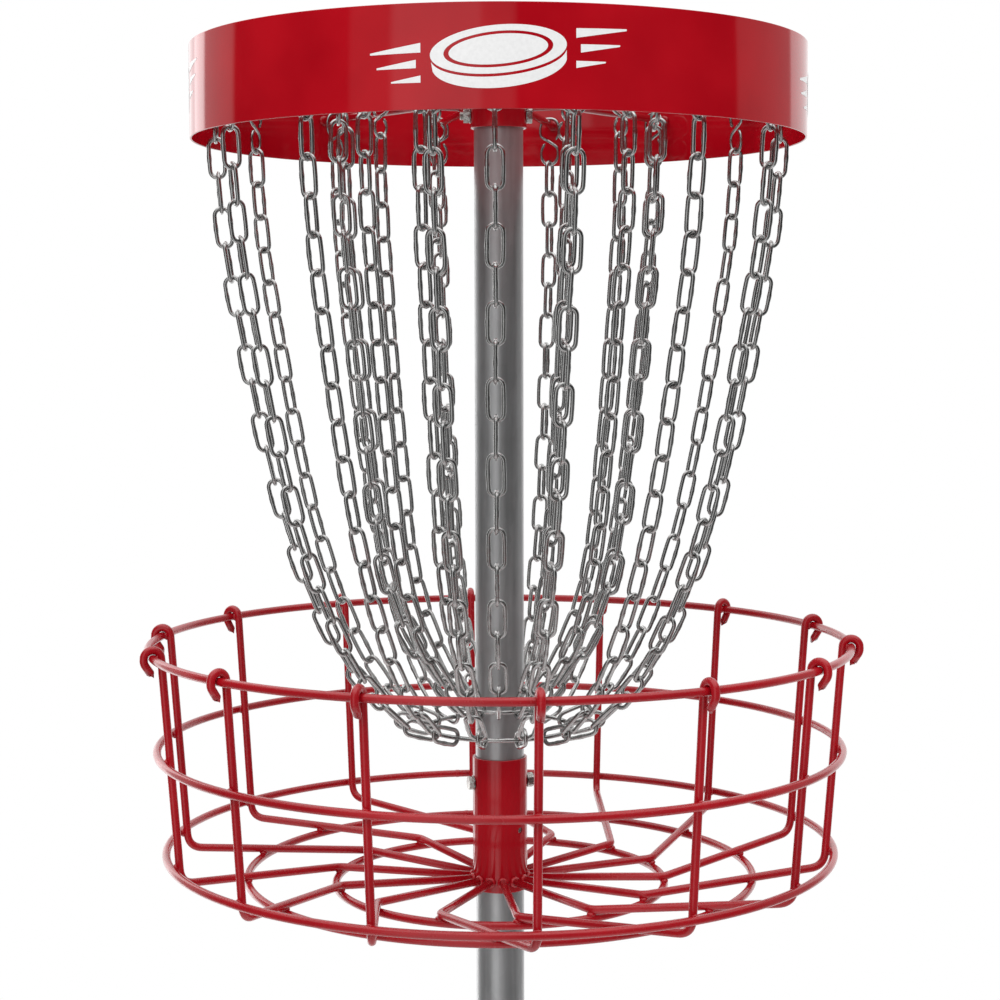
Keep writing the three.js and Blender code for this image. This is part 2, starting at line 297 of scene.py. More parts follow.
def blob(centre, axes, scales, rings=8, segments=12, seed=None, rough=0.0):
    """A rounded lump: an ellipsoid on three axes, slightly uneven where rough is more than 0."""
    rng = random.Random(seed) if seed is not None else None
    verts, faces = [], []
    ax = [unit(a) for a in axes]
    c = np.asarray(centre, float)
    for i in range(rings + 1):
        th = math.pi * i / rings
        for k in range(segments):
            ph = 2 * math.pi * k / segments
            local = (math.sin(th) * math.cos(ph), math.sin(th) * math.sin(ph), math.cos(th))
            w = 1 + (rng.uniform(-rough, rough) if rng and 0 < i < rings else 0)
            verts.append(c + w * sum(ax[j] * scales[j] * local[j] for j in range(3)))
    for i in range(rings):
        for k in range(segments):
            l = (k + 1) % segments
            faces.append((i * segments + k, (i + 1) * segments + k, (i + 1) * segments + l, i * segments + l))
    return np.array(verts), faces


def boolean_cut(o, cutter):
    mod = o.modifiers.new("cut", "BOOLEAN")
    mod.operation, mod.object, mod.solver = "DIFFERENCE", cutter, "EXACT"
    bpy.context.view_layer.update()
    dg = bpy.context.evaluated_depsgraph_get()
    mesh = bpy.data.meshes.new_from_object(o.evaluated_get(dg))
    o.modifiers.clear()
    old = o.data
    o.data = mesh
    bpy.data.meshes.remove(old)
    bpy.data.objects.remove(cutter)


def temporary(verts, faces):
    mesh = bpy.data.meshes.new("cutter")
    mesh.from_pydata([tuple(v) for v in verts], [], faces)
    o = bpy.data.objects.new("cutter", mesh)
    bpy.context.scene.collection.objects.link(o)
    return o


# ---------------------------------------------------------------- materials
def new_material(name):
    m = bpy.data.materials.new(name)
    m.use_nodes = True
    tree = m.node_tree
    return m, tree, tree.nodes["Principled BSDF"]


def node(tree, kind, **values):
    n = tree.nodes.new(kind)
    for key, value in values.items():
        if key in n.inputs:
            n.inputs[key].default_value = value
        else:
            setattr(n, key, value)
    return n


def noise(tree, coords, scale, detail=3.0, rough=0.5):
    n = node(tree, "ShaderNodeTexNoise")
    n.inputs["Scale"].default_value = scale
    n.inputs["Detail"].default_value = detail
    n.inputs["Roughness"].default_value = rough
    tree.links.new(coords, n.inputs["Vector"])
    return n


def stretched(tree, coords, scale):
    m = node(tree, "ShaderNodeMapping")
    m.inputs["Scale"].default_value = scale
    tree.links.new(coords, m.inputs["Vector"])
    return m.outputs["Vector"]


def ramp(tree, factor, stops):
    """A colour ramp; stops run upwards in position."""
    r = node(tree, "ShaderNodeValToRGB")
    elements = r.color_ramp.elements
    elements[0].position, elements[-1].position = stops[0][0], stops[-1][0]
    elements[0].color, elements[-1].color = (*stops[0][1], 1), (*stops[-1][1], 1)
    for at, colour in stops[1:-1]:
        elements.new(at).color = (*colour, 1)
    tree.links.new(factor, r.inputs["Fac"])
    return r


def value_range(tree, factor, low, high, from_low=0.3, from_high=0.7):
    r = node(tree, "ShaderNodeMapRange")
    for key, v in (("From Min", from_low), ("From Max", from_high), ("To Min", low), ("To Max", high)):
        r.inputs[key].default_value = v
    tree.links.new(factor, r.inputs["Value"])
    return r.outputs["Result"]


def bump(tree, height, bsdf, strength, distance, below=None):
    b = node(tree, "ShaderNodeBump")
    b.inputs["Strength"].default_value = strength
    b.inputs["Distance"].default_value = distance
    tree.links.new(height, b.inputs["Height"])
    if below:
        tree.links.new(below.outputs["Normal"], b.inputs["Normal"])
    tree.links.new(b.outputs["Normal"], bsdf.inputs["Normal"])
    return b


def powder_red(name, roughness, coat, colour=(0.43, 0.0018, 0.0085)):
    m, t, b = new_material(name)
    obj = node(t, "ShaderNodeTexCoord").outputs["Object"]
    big = noise(t, obj, 9, 3)
    dark = tuple(c * 0.88 for c in colour)
    light = tuple(min(1, c * 1.1 + 0.002) for c in colour)
    col = ramp(t, big.outputs["Fac"], [(0.35, dark), (0.65, light)])
    t.links.new(col.outputs["Color"], b.inputs["Base Color"])
    peel = noise(t, obj, 900, 2)
    fine = noise(t, obj, 260, 2)
    t.links.new(value_range(t, fine.outputs["Fac"], roughness * 0.85, roughness * 1.2), b.inputs["Roughness"])
    bump(t, peel.outputs["Fac"], b, 0.025, 0.0001)
    b.inputs["IOR"].default_value = 1.5
    b.inputs["Coat Weight"].default_value = coat
    b.inputs["Coat Roughness"].default_value = 0.04
    return m


def zinc_steel(name, base, roughness, metallic=1.0, mottled=0.18):
    m, t, b = new_material(name)
    obj = node(t, "ShaderNodeTexCoord").outputs["Object"]
    patches = noise(t, obj, 55, 4, 0.6)
    dark = tuple(c * (1 - mottled) for c in base)
    light = tuple(min(1, c * (1 + mottled)) for c in base)
    col = ramp(t, patches.outputs["Fac"], [(0.3, dark), (0.7, light)])
    t.links.new(col.outputs["Color"], b.inputs["Base Color"])
    scuff = noise(t, obj, 420, 3)
    t.links.new(value_range(t, scuff.outputs["Fac"], roughness * 0.85, roughness * 1.2), b.inputs["Roughness"])
    bump(t, scuff.outputs["Fac"], b, 0.02, 0.0001)
    b.inputs["Metallic"].default_value = metallic
    return m


def galvanised(name, base, roughness, metallic):
    m, t, b = new_material(name)
    obj = node(t, "ShaderNodeTexCoord").outputs["Object"]
    spangle = node(t, "ShaderNodeTexVoronoi")
    spangle.inputs["Scale"].default_value = 130
    t.links.new(stretched(t, obj, (1, 1, 0.45)), spangle.inputs["Vector"])
    streaks = noise(t, stretched(t, obj, (1, 1, 0.035)), 95, 4, 0.6)
    clouds = noise(t, obj, 14, 4, 0.6)
    sum1 = node(t, "ShaderNodeMath", operation="MULTIPLY_ADD")
    t.links.new(spangle.outputs["Color"], sum1.inputs[0])
    sum1.inputs[1].default_value = 0.16
    t.links.new(streaks.outputs["Fac"], sum1.inputs[2])
    sum2 = node(t, "ShaderNodeMath", operation="MULTIPLY_ADD")
    t.links.new(clouds.outputs["Fac"], sum2.inputs[0])
    sum2.inputs[1].default_value = 0.5
    t.links.new(sum1.outputs[0], sum2.inputs[2])
    dark = tuple(c * 0.78 for c in base)
    light = tuple(min(1, c * 1.16) for c in base)
    col = ramp(t, value_range(t, sum2.outputs[0], 0, 1, 0.55, 1.1), [(0.0, dark), (1.0, light)])
    t.links.new(col.outputs["Color"], b.inputs["Base Color"])
    t.links.new(value_range(t, streaks.outputs["Fac"], roughness * 0.85, roughness * 1.2), b.inputs["Roughness"])
    bump(t, streaks.outputs["Fac"], b, 0.08, 0.0004)
    b.inputs["Metallic"].default_value = metallic
    return m


RED_WIRE = powder_red("red_powder_wire", 0.24, 0.2, (0.385, 0.0018, 0.008))
RED_SHEET = powder_red("red_powder_sheet", 0.07, 0.0)
RED_TUBE = powder_red("red_powder_tube", 0.14, 0.15, (0.36, 0.0016, 0.0075))
CHAIN_ZINC = zinc_steel("zinc_chain", (0.47, 0.47, 0.465), 0.22)
RING_ZINC = zinc_steel("zinc_ring", (0.44, 0.44, 0.435), 0.24)
BOLT_ZINC = zinc_steel("zinc_bolt", (0.46, 0.455, 0.435), 0.26)
POLE_GALV = galvanised("galvanised_pole", (0.47, 0.475, 0.48), 0.34, 0.8)
GROUND_GALV = galvanised("ground_steel", (0.24, 0.245, 0.25), 0.5, 0.6)


def white_print(name):
    m, t, b = new_material(name)
    obj = node(t, "ShaderNodeTexCoord").outputs["Object"]
    grain = noise(t, obj, 300, 3)
    col = ramp(t, grain.outputs["Fac"], [(0.3, (0.86, 0.86, 0.86)), (0.7, (0.93, 0.93, 0.93))])
    t.links.new(col.outputs["Color"], b.inputs["Base Color"])
    bump(t, grain.outputs["Fac"], b, 0.05, 0.0001)
    b.inputs["Roughness"].default_value = 0.35
    return m


WHITE = white_print("white_print")


# ---------------------------------------------------------------- wires and rings
def circle(r, z, segments=168, az0=0.0):
    return [polar(r, az0 + 2 * math.pi * k / segments, z) for k in range(segments)]


def weld(build, centre, az, radial, tangential, upright, seed):
    """A painted weld lump, longest along its second axis."""
    axes = (polar(1, az, 0), np.array([math.cos(az), math.sin(az), 0]), np.array([0, 0, 1.0]))
    build.add(*blob(centre, axes, (radial, tangential, upright), seed=seed, rough=0.05))


def corner(a, at, b, trim, steps=8):
    a, at, b = (np.asarray(q, float) for q in (a, at, b))
    s, e = at + unit(a - at) * trim, at + unit(b - at) * trim
    return [(1 - t) ** 2 * s + 2 * t * (1 - t) * at + t * t * e for t in (k / steps for k in range(steps + 1))]


FOOT_R, FOOT_Z = 322.9 * MM, RIM_Z - 219 * MM
KINK_Z, END_Z = RIM_Z - 234.5 * MM, RIM_Z - 239 * MM


def tray_wire_points(k):
    az = TRAY_AZ + k * STEP
    kink_az = az - STEP
    pts = [polar(348 * MM, az, RIM_Z - 15.5 * MM)]
    outer = polar(RIM_R + LAP, az, RIM_Z)
    pts += corner(pts[0], polar(RIM_R + LAP, az, RIM_Z - 4.5 * MM), outer, 3 * MM, 4)
    for i in range(1, 15):
        a = math.pi * i / 14
        pts.append(polar(RIM_R + LAP * math.cos(a), az, RIM_Z + LAP * math.sin(a)))
    low = polar(LOWER_R - LAP, az, LOWER_Z)
    for i in range(1, 8):
        t = i / 8
        pts.append(polar(RIM_R - LAP + t * (LOWER_R - RIM_R), az, RIM_Z + t * (LOWER_Z - RIM_Z)))
    foot, kink = polar(FOOT_R, az, FOOT_Z), polar(INNER_FLOOR_R, kink_az, KINK_Z)
    end = polar(COLLAR_R - 0.5 * MM, kink_az, END_Z)
    pts += [low] + corner(low, foot, kink, 14.5 * MM, 10) + corner(foot, kink, end, 6.5 * MM, 6) + [end]
    return pts, az, kink_az


def floor_cross(k, r):
    """Where tray wire k's floor part crosses the circle of radius r."""
    az = TRAY_AZ + k * STEP
    a, b = polar(FOOT_R, az, FOOT_Z), polar(INNER_FLOOR_R, az - STEP, KINK_Z)
    low, high = 0.0, 1.0
    for _ in range(40):
        t = (low + high) / 2
        p = a + (b - a) * t
        if math.hypot(p[0], p[1]) > r:
            low = t
        else:
            high = t
    return p, math.atan2(p[0], -p[1])


for k in range(N):
    b = Build()
    pts, az, kink_az = tray_wire_points(k)
    p, r = rounded_ends(pts, WIRE, at_end=False, round_by=0.45)
    b.add(*sweep(p, r, 16))
    # welds: rim, middle and lower rings, the two floor rings and the collar
    weld(b, polar(RIM_R - LAP / 2, az, RIM_Z), az, 2.6 * MM, 4.2 * MM, 4.4 * MM, 100 + k)
    weld(b, polar(MIDDLE_R - LAP / 2, az, MIDDLE_Z), az, 2.6 * MM, 4.4 * MM, 4.4 * MM, 200 + k)
    weld(b, polar(LOWER_R - LAP / 2, az, LOWER_Z), az, 2.6 * MM, 4.4 * MM, 4.4 * MM, 300 + k)
    cross, cross_az = floor_cross(k, OUTER_FLOOR_R)
    weld(b, cross - np.array([0, 0, LAP / 2]), cross_az, 4.2 * MM, 4.6 * MM, 2.6 * MM, 400 + k)
    weld(b, polar(INNER_FLOOR_R, kink_az, KINK_Z - LAP / 2), kink_az, 4.2 * MM, 4.6 * MM, 2.6 * MM, 500 + k)
    weld(b, polar(COLLAR_R + 1.2 * MM, kink_az, END_Z), kink_az, 3.4 * MM, 5.6 * MM, 5.6 * MM, 600 + k)
    name = f"tray_wire_{k + 1:02d}"
    b.make(name + "_wire", [RED_WIRE], "mast", [name])

for name, r, z in (("rim_ring", RIM_R, RIM_Z), ("middle_ring", MIDDLE_R, MIDDLE_Z), ("lower_ring", LOWER_R, LOWER_Z),
                   ("outer_floor_ring", OUTER_FLOOR_R, OUTER_FLOOR_Z), ("inner_floor_ring", INNER_FLOOR_R, INNER_FLOOR_Z)):
    b = Build()
    b.add(*sweep(circle(r, z), WIRE, 16, closed=True))
    # the wire's butt weld, at the back
    joint = math.pi + STEP / 3
    b.add(*sweep([polar(r, joint - 0.003 / r, z), polar(r, joint - 0.0012 / r, z), polar(r, joint + 0.0012 / r, z),
                  polar(r, joint + 0.003 / r, z)], [WIRE * 0.98, WIRE * 1.08, WIRE * 1.08, WIRE * 0.98], 16))
    b.make(name + "_wire", [RED_WIRE], "mast", [name])


# ---------------------------------------------------------------- rack, band, hub
b = Build()
hub_low, hub_high = RIM_Z + 507 * MM, RIM_Z + 566 * MM
hub = bevelled([(0, hub_high), (HUB_R, hub_high), (HUB_R, hub_low), (COLLAR_BORE, hub_low),
                (COLLAR_BORE, hub_high - 5 * MM), (0, hub_high - 5 * MM)], 1.2 * MM)
b.add(*lathe(hub, 96))
b.add(*sweep(circle(HOOP_R, HOOP_Z, 126), WIRE, 14, closed=True))
for k in range(N):
    az = ARM_AZ + k * STEP
    end = BAND_R - BAND_SHEET
    b.add(*sweep([polar(r, az, ARM_Z) for r in (HUB_R - 1 * MM, 0.1, 0.2, end - 0.2 * MM)], WIRE, 16))
    weld(b, polar(HUB_R + 1 * MM, az, ARM_Z), az, 3.4 * MM, 5.6 * MM, 5.6 * MM, 700 + k)
    weld(b, polar(end - 0.8 * MM, az, ARM_Z), az, 2.6 * MM, 6.2 * MM, 5.6 * MM, 720 + k)
    weld(b, polar(HOOP_R, az, ARM_Z + 3 * MM), az, 5.2 * MM, 5.2 * MM, 2.6 * MM, 740 + k)
b.make("rack_weldment", [RED_TUBE], "mast", ["top_rack"], angle=50)

b = Build()
band = bevelled([(BAND_R - BAND_SHEET, BAND_LOW), (BAND_R, BAND_LOW), (BAND_R, BAND_HIGH),
                 (BAND_R - BAND_SHEET, BAND_HIGH)], 0.95 * MM, 5)
b.add(*lathe(band, 240))
seam = [polar(BAND_R - 0.6 * MM, SEAM_AZ, BAND_LOW + 1.5 * MM + t * (BAND_HIGH - BAND_LOW - 3 * MM)) for t in
        (0, 0.02, 0.25, 0.5, 0.75, 0.98, 1)]
b.add(*sweep(seam, [0.4 * MM, 1.5 * MM, 1.55 * MM, 1.45 * MM, 1.55 * MM, 1.5 * MM, 0.4 * MM], 12))
b.make("band_sheet", [RED_SHEET], "mast", ["top_band"], angle=60)


# A plain printed graphic: a flying disc seen from a little above, between tapering bars. No lettering.
BAND_MID = (BAND_LOW + BAND_HIGH) / 2
PRINT_LIFT = 0.12 * MM


def on_band(x, y, centre_az):
    return polar(BAND_R + PRINT_LIFT, centre_az + x * MM / BAND_R, BAND_MID + y * MM)


def ribbon(build, low, high, centre_az):
    """A strip of print between two rows of [across, up] points in mm."""
    n = len(low)
    verts = [on_band(x, y, centre_az) for x, y in low + high]
    build.add(verts, [(i, i + 1, n + i + 1, n + i) for i in range(n - 1)])


def ellipse(a, b, start=0, end=360, down=0.0, count=72, tilt=5.0):
    c, s = math.cos(math.radians(tilt)), math.sin(math.radians(tilt))
    out = []
    for i in range(count + 1):
        t = math.radians(start + (end - start) * i / count)
        x, y = a * math.cos(t), b * math.sin(t) - down
        out.append((x * c - y * s, x * s + y * c + DISC_UP))
    return out


DISC_UP = 5.0
DISC_A, DISC_B = 58.0, 20.0
FLAT_A, FLAT_B = 42.0, 12.4


def graphic(centre_az, name):
    g = Build()
    ribbon(g, ellipse(DISC_A, DISC_B), ellipse(DISC_A * 0.8, DISC_B * 0.74), centre_az)
    # the flat of the disc, in narrow rings that follow the band's curve
    for i in range(10):
        inner, outer = max(0.005, i / 10), (i + 1) / 10
        ribbon(g, ellipse(FLAT_A * inner, FLAT_B * inner), ellipse(FLAT_A * outer, FLAT_B * outer), centre_az)
    # the disc's rim, hanging below its nearer half
    ribbon(g, ellipse(DISC_A * 0.99, DISC_B + 2, 188, 352, 10), ellipse(DISC_A * 1.0, DISC_B, 188, 352, 2.4), centre_az)
    for side in (-1, 1):
        for near, far, z, thick in ((66, 111, 13, 8), (70, 105, 0, 7), (66, 92, -13, 6)):
            rise = 0.09 * side
            xs = [side * (near + (far - near) * i / 16) for i in range(17)]
            half = [thick / 2 * (1 - 0.8 * i / 16) for i in range(17)]
            low = [(x, z + x * rise * side - h) for x, h in zip(xs, half)]
            high = [(x, z + x * rise * side + h) for x, h in zip(xs, half)]
            ribbon(g, *((low, high) if side > 0 else (low[::-1], high[::-1])), centre_az)
    g.make(name, [WHITE], "mast", (), smooth=True)


for i, label in enumerate(("front", "right", "back", "left")):
    graphic(i * math.pi / 2, "band_graphic_" + label)


# ---------------------------------------------------------------- pole, collar, sleeve
def tube_profile(outer, inner, low, high, edge):
    return bevelled([(inner, low), (outer, low), (outer, high), (inner, high)], edge)


pole_low, pole_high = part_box("pole")[0][2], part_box("pole")[1][2]
b = Build()
b.add(*lathe(tube_profile(POLE_R, POLE_R - POLE_WALL, pole_low, pole_high, 0.8 * MM), 128))
b.make("pole_tube", [POLE_GALV], "mast", ["pole"], angle=40)

collar_low, collar_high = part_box("tray_collar")[0][2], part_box("tray_collar")[1][2]
SCREW_AZ, SCREW_Z = math.radians(48), RIM_Z - 188 * MM
b = Build()
b.add(*lathe(tube_profile(COLLAR_R, COLLAR_BORE, collar_low, collar_high, 1.0 * MM), 128))
collar = b.make("collar_tube", [RED_TUBE], "mast", ["tray_collar"])
cut = temporary(*sweep([polar(r, SCREW_AZ, SCREW_Z) for r in (COLLAR_BORE - 2 * MM, COLLAR_R + 3 * MM)], 3.1 * MM, 24))
boolean_cut(collar, cut)
sharpen(collar, 40)

# the set screw: a socket head sunk in its hole
b = Build()
start, end = POLE_R + 0.2 * MM, COLLAR_R - 0.9 * MM
b.add(*sweep([polar(start, SCREW_AZ, SCREW_Z), polar(end, SCREW_AZ, SCREW_Z), polar(end, SCREW_AZ, SCREW_Z),
              polar(end - 1.5 * MM, SCREW_AZ, SCREW_Z)], [2.75 * MM, 2.75 * MM, 1.6 * MM, 1.5 * MM], 24))
b.make("set_screw", [BOLT_ZINC], "mast", ["tray_set_screw"], angle=30)


def hex_prism(build, az, z, a, c, across, chamfer, turn=0.0):
    """A hexagon along the radius from radius a to radius c, with its outer corners chamfered."""
    out, e1, e2 = polar(1, az, 0), np.array([math.cos(az), math.sin(az), 0]), np.array([0, 0, 1.0])
    origin = np.array([0, 0, z])
    r_hex = across / math.sqrt(3)
    sides = 48
    rows = []
    span = c - a
    for depth, shrink in ((0, 0.86), (0, 0.9), (chamfer / span, 1.0), (1 - chamfer / span, 1.0), (1, 0.9), (1, 0.86)):
        row = []
        for k in range(sides):
            ang = 2 * math.pi * k / sides
            hexr = r_hex * math.cos(math.pi / 6) / math.cos((ang % (math.pi / 3)) - math.pi / 6)
            cap = r_hex * (0.9 if shrink < 1 else 1.0)
            r = min(hexr, cap) * (shrink / 0.9 if shrink < 0.9 else 1.0)
            row.append(origin + out * (a + depth * span) + r * (math.cos(ang + turn) * e1 + math.sin(ang + turn) * e2))
        rows.append(row)
    verts = [v for row in rows for v in row]
    faces = []
    for i in range(len(rows) - 1):
        for k in range(sides):
            l = (k + 1) % sides
            faces.append((i * sides + k, i * sides + l, (i + 1) * sides + l, (i + 1) * sides + k))
    faces.append(tuple(range(sides))[::-1])
    faces.append(tuple((len(rows) - 1) * sides + k for k in range(sides)))
    build.add(verts, faces)


def radial_tube(build, az, z, stations_, sides=32):
    """A turned part along the radius: [radius along, its own radius] stations."""
    build.add(*sweep([polar(abs(r), az if r >= 0 else az + math.pi, z) for r, _ in stations_],
                     [q for _, q in stations_], sides, up=(0, 0, 1)))


def through_bolt(name, cad_node, az, z, seat, turn):
    b = Build()
    seat = seat + 0.05 * MM
    # washer and head on one side
    radial_tube(b, az, z, [(seat - 0.02, 4 * MM), (seat + 0.6 * MM, 4 * MM)])
    hex_prism(b, az, z, seat + 0.3 * MM, seat + 5.6 * MM, 13 * MM, 0.9 * MM, turn)
    radial_tube(b, az, z, [(seat, 7.2 * MM), (seat + 0.15 * MM, 7.35 * MM), (seat + 0.75 * MM, 7.35 * MM), (seat + 0.9 * MM, 7.2 * MM)])
    # nut, and the end of the thread, on the other
    far = az + math.pi
    radial_tube(b, far, z, [(seat, 7.2 * MM), (seat + 0.15 * MM, 7.35 * MM), (seat + 0.75 * MM, 7.35 * MM), (seat + 0.9 * MM, 7.2 * MM)])
    hex_prism(b, far, z, seat + 0.9 * MM, seat + 6.8 * MM, 13 * MM, 0.9 * MM, turn + 0.35)
    thread = [(seat - 0.02, 3.7 * MM)]
    at = seat + 6.5 * MM
    while at < seat + 9.8 * MM:
        thread += [(at, 3.55 * MM), (at + 0.35 * MM, 3.98 * MM), (at + 0.7 * MM, 3.98 * MM), (at + 1.05 * MM, 3.55 * MM)]
        at += 1.25 * MM
    thread += [(seat + 10.3 * MM, 3.1 * MM)]
    radial_tube(b, far, z, thread)
    b.make(name, [BOLT_ZINC], "mast", [cad_node], angle=28)


through_bolt("tray_bolt_hex", "tray_bolt", math.radians(-75), RIM_Z - 142 * MM, COLLAR_R, 0.2)
through_bolt("rack_bolt_hex", "rack_bolt", math.radians(90), RIM_Z + 519.5 * MM, HUB_R, 0.5)


def tab_plate(build, low, start_x):
    """A flat padlock tab towards +X with a rounded outer end and its hole."""
    reach, half, thick, hx, hr = 60 * MM, 13 * MM, 6 * MM, 47 * MM, 5.5 * MM
    n, loops = 72, []
    edge = 0.8 * MM
    for inset, z in ((edge, low), (0, low + edge), (0, low + thick - edge), (edge, low + thick)):
        outer = []
        for k in range(n):
            a = 2 * math.pi * k / n
            dx, dy = math.cos(a), math.sin(a)
            x1, y1 = (reach - inset) - hx, half - inset
            r = min((x1 / dx) if dx > 1e-6 else 9, ((hx - start_x) / -dx) if dx < -1e-6 else 9,
                    (y1 / abs(dy)) if abs(dy) > 1e-6 else 9)
            r_round = 15.4 * MM - inset
            if dx > 0:
                r = min(r, r_round)
            outer.append((hx + r * dx, r * dy, z))
        loops.append(outer)
    for extra, z in ((edge, low + thick), (0, low + thick - edge), (0, low + edge), (edge, low)):
        loops.append([(hx + (hr + extra) * math.cos(2 * math.pi * k / n), (hr + extra) * math.sin(2 * math.pi * k / n), z)
                      for k in range(n)])
    verts = [v for loop in loops for v in loop]
    faces = []
    for i in range(len(loops)):
        j = (i + 1) % len(loops)
        for k in range(n):
            l = (k + 1) % n
            faces.append((i * n + k, i * n + l, j * n + l, j * n + k))
    build.add(verts, faces)


def ring_bead(build, r, z, bead, seed, segments=96):
    rng = random.Random(seed)
    pts = circle(r, z, segments)
    build.add(*sweep(pts, [bead * (1 + rng.uniform(-0.1, 0.1)) for _ in pts], 10, closed=True))


sleeve_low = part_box("ground_sleeve")[0][2]
b = Build()
sleeve = bevelled([(0, sleeve_low), (30.15 * MM, sleeve_low), (30.15 * MM, 25 * MM), (26.25 * MM, 25 * MM),
                   (26.25 * MM, sleeve_low + 4 * MM), (0, sleeve_low + 4 * MM)], 1.0 * MM)
b.add(*lathe(sleeve, 112))
tab_plate(b, 19 * MM, 29 * MM)
ring_bead(b, 29.7 * MM, sleeve_low + 4.2 * MM, 1.6 * MM, 11)
b.make("sleeve_tube", [GROUND_GALV], "ground_sleeve", ["ground_sleeve"], angle=40)

b = Build()
b.add(*lathe(tube_profile(32 * MM, COLLAR_BORE, 25.3 * MM, 59.3 * MM, 1.6 * MM), 112))
tab_plate(b, 25.3 * MM, 30 * MM)
ring_bead(b, POLE_R + 0.6 * MM, 59.6 * MM, 2.2 * MM, 12)
b.make("lock_collar_ring", [GROUND_GALV], "mast", ["lock_collar"], angle=40)


# ---------------------------------------------------------------- chains
def link_template(steps=12, sides=12):
    """One link for a pitch of 1: points of the centreline as (across, along) and the wire's radius factors."""
    w = (LINK_WIDTH / 2 - LINK_WIRE)
    pts, bead = [], []
    straight = 7
    for i in range(steps):
        a = math.pi * i / steps
        pts.append(("top", w * math.cos(a), w * math.sin(a)))
        bead.append(1.0)
    for i in range(straight):
        pts.append(("side", -w, 1 - 2 * i / straight))
        bead.append(1.0)
    for i in range(steps):
        a = math.pi + math.pi * i / steps
        pts.append(("low", w * math.cos(a), w * math.sin(a)))
        bead.append(1.0)
    for i in range(straight):
        t = i / straight
        pts.append(("side", w, -1 + 2 * t))
        bead.append({3: 1.16, 4: 1.16}.get(i, 1.0))
    return pts, bead, w


TEMPLATE, BEAD, LINK_W = link_template()


def add_link(build, p0, p1, across, bow=1.0):
    """A link whose inner ends touch p0 and p1. across is the direction of its width."""
    d = unit(p1 - p0)
    across = unit(across - d * np.dot(across, d))
    half = np.linalg.norm(p1 - p0) / 2 + LINK_WIRE - LINK_W  # half length of the straight part
    centre = (p0 + p1) / 2
    pts = []
    for kind, x, y in TEMPLATE:
        if kind == "top":
            along = half + y
        elif kind == "low":
            along = -half + y
        else:
            along = half * y
            x = x * (1 + 0.035 * (1 - y * y)) * bow
        pts.append(centre + across * x - d * along)
    build.add(*sweep(pts, [LINK_WIRE * q for q in BEAD], 12, closed=True, up=across))


def hook_points(centre, top_across, low_across, half_height):
    """An S-hook: two nearly closed loops, each in the plane of Z and its own direction."""
    h, w = half_height / 2, HOOK_HALF_WIDTH
    # the upper loop is wider and flatter on top, so that it can turn on its rod
    wide = w + HOOK_ROOM
    points = []
    for degrees in (-52, -25, 5, 30, 55, 75, 90, 105, 125, 150, 180, 210):
        a = math.radians(degrees)
        flat = math.copysign(abs(math.cos(a)) ** 0.72, math.cos(a))
        points.append(centre + top_across * wide * flat + np.array([0, 0, h + h * math.sin(a)]))
    points.append(centre)
    for degrees in (32, 5, -25, -55, -85, -115, -145, -175, -205, -232):
        a = math.radians(degrees)
        points.append(centre + low_across * w * math.cos(a) + np.array([0, 0, -h + h * math.sin(a)]))
    return catmull(points, 4)


def arc_lengths(p):
    return np.concatenate([[0], np.cumsum(np.linalg.norm(np.diff(p, axis=0), axis=1))])


def chain_object(name, profile, az, radial_hook, support_z, ring_r, ring_z, seed):
    rng = random.Random(seed)
    radial, tangent = polar(1, az, 0), np.array([math.cos(az), math.sin(az), 0])
    b = Build()
    # S-hook over its support
    top_r = profile[0][0] * MM
    hook_top = support_z + WIRE + HOOK_WIRE + HOOK_GAP
    half_height = INNER_HOOK_HALF_HEIGHT if radial_hook else HOOK_HALF_HEIGHT
    centre = polar(top_r, az, hook_top - half_height)
    lean = rng.uniform(-0.12, 0.12)
    low_across = unit(tangent * math.cos(lean) + radial * math.sin(lean))
    if rng.random() < 0.5:
        low_across = -low_across
    # over the hoop, the hook is twisted a quarter turn between its two loops
    top_across = radial if radial_hook else tangent * np.sign(np.dot(low_across, tangent))
    p, r = rounded_ends(hook_points(centre, top_across, low_across, half_height), HOOK_WIRE, round_by=0.6)
    b.add(*sweep(p, r, 10))
    # the hanging curve, from the hook's lower bend to the far side of the ring's wire
    start_z = hook_top - 2 * half_height + HOOK_WIRE
    below = [(rr * MM, RIM_Z + zz * MM) for rr, zz in profile if RIM_Z + zz * MM < start_z - 2 * MM]
    plan = [np.array([top_r, start_z])] + [np.array(q) for q in below]
    inward = unit(plan[-1] - plan[-2])
    plan[-1] = np.array([ring_r, ring_z]) + inward * CHAIN_RING_WIRE
    curve = catmull(plan, 24)
    s = arc_lengths(curve)
    count = round(s[-1] / LINK_PITCH)
    at = [s[-1] * i / count for i in range(count + 1)]
    rz = np.column_stack([np.interp(at, s, curve[:, 0]), np.interp(at, s, curve[:, 1])])
    contact = [polar(a, az, z) for a, z in rz]
    # a little sideways wander between the two ends
    wander = rng.uniform(-1, 1) * 1.6 * MM
    for i in range(1, count):
        t = i / count
        contact[i] = contact[i] + tangent * (wander * math.sin(math.pi * t) + rng.uniform(-0.35, 0.35) * MM)
    first = math.pi / 2  # the first and last links lie in the radial plane
    swing = rng.uniform(-0.12, 0.12)
    for i in range(count):
        d = unit(contact[i + 1] - contact[i])
        nrm = unit(np.cross(d, tangent))
        fade = min(1.0, (count - 1 - i) / 3)
        a = first + (i % 2) * math.pi / 2 + (swing + rng.uniform(-0.16, 0.16)) * fade
        add_link(b, contact[i], contact[i + 1], tangent * math.cos(a) + nrm * math.sin(a))
    b.make(name + "_links", [CHAIN_ZINC], name, [name])
    return count, s[-1]


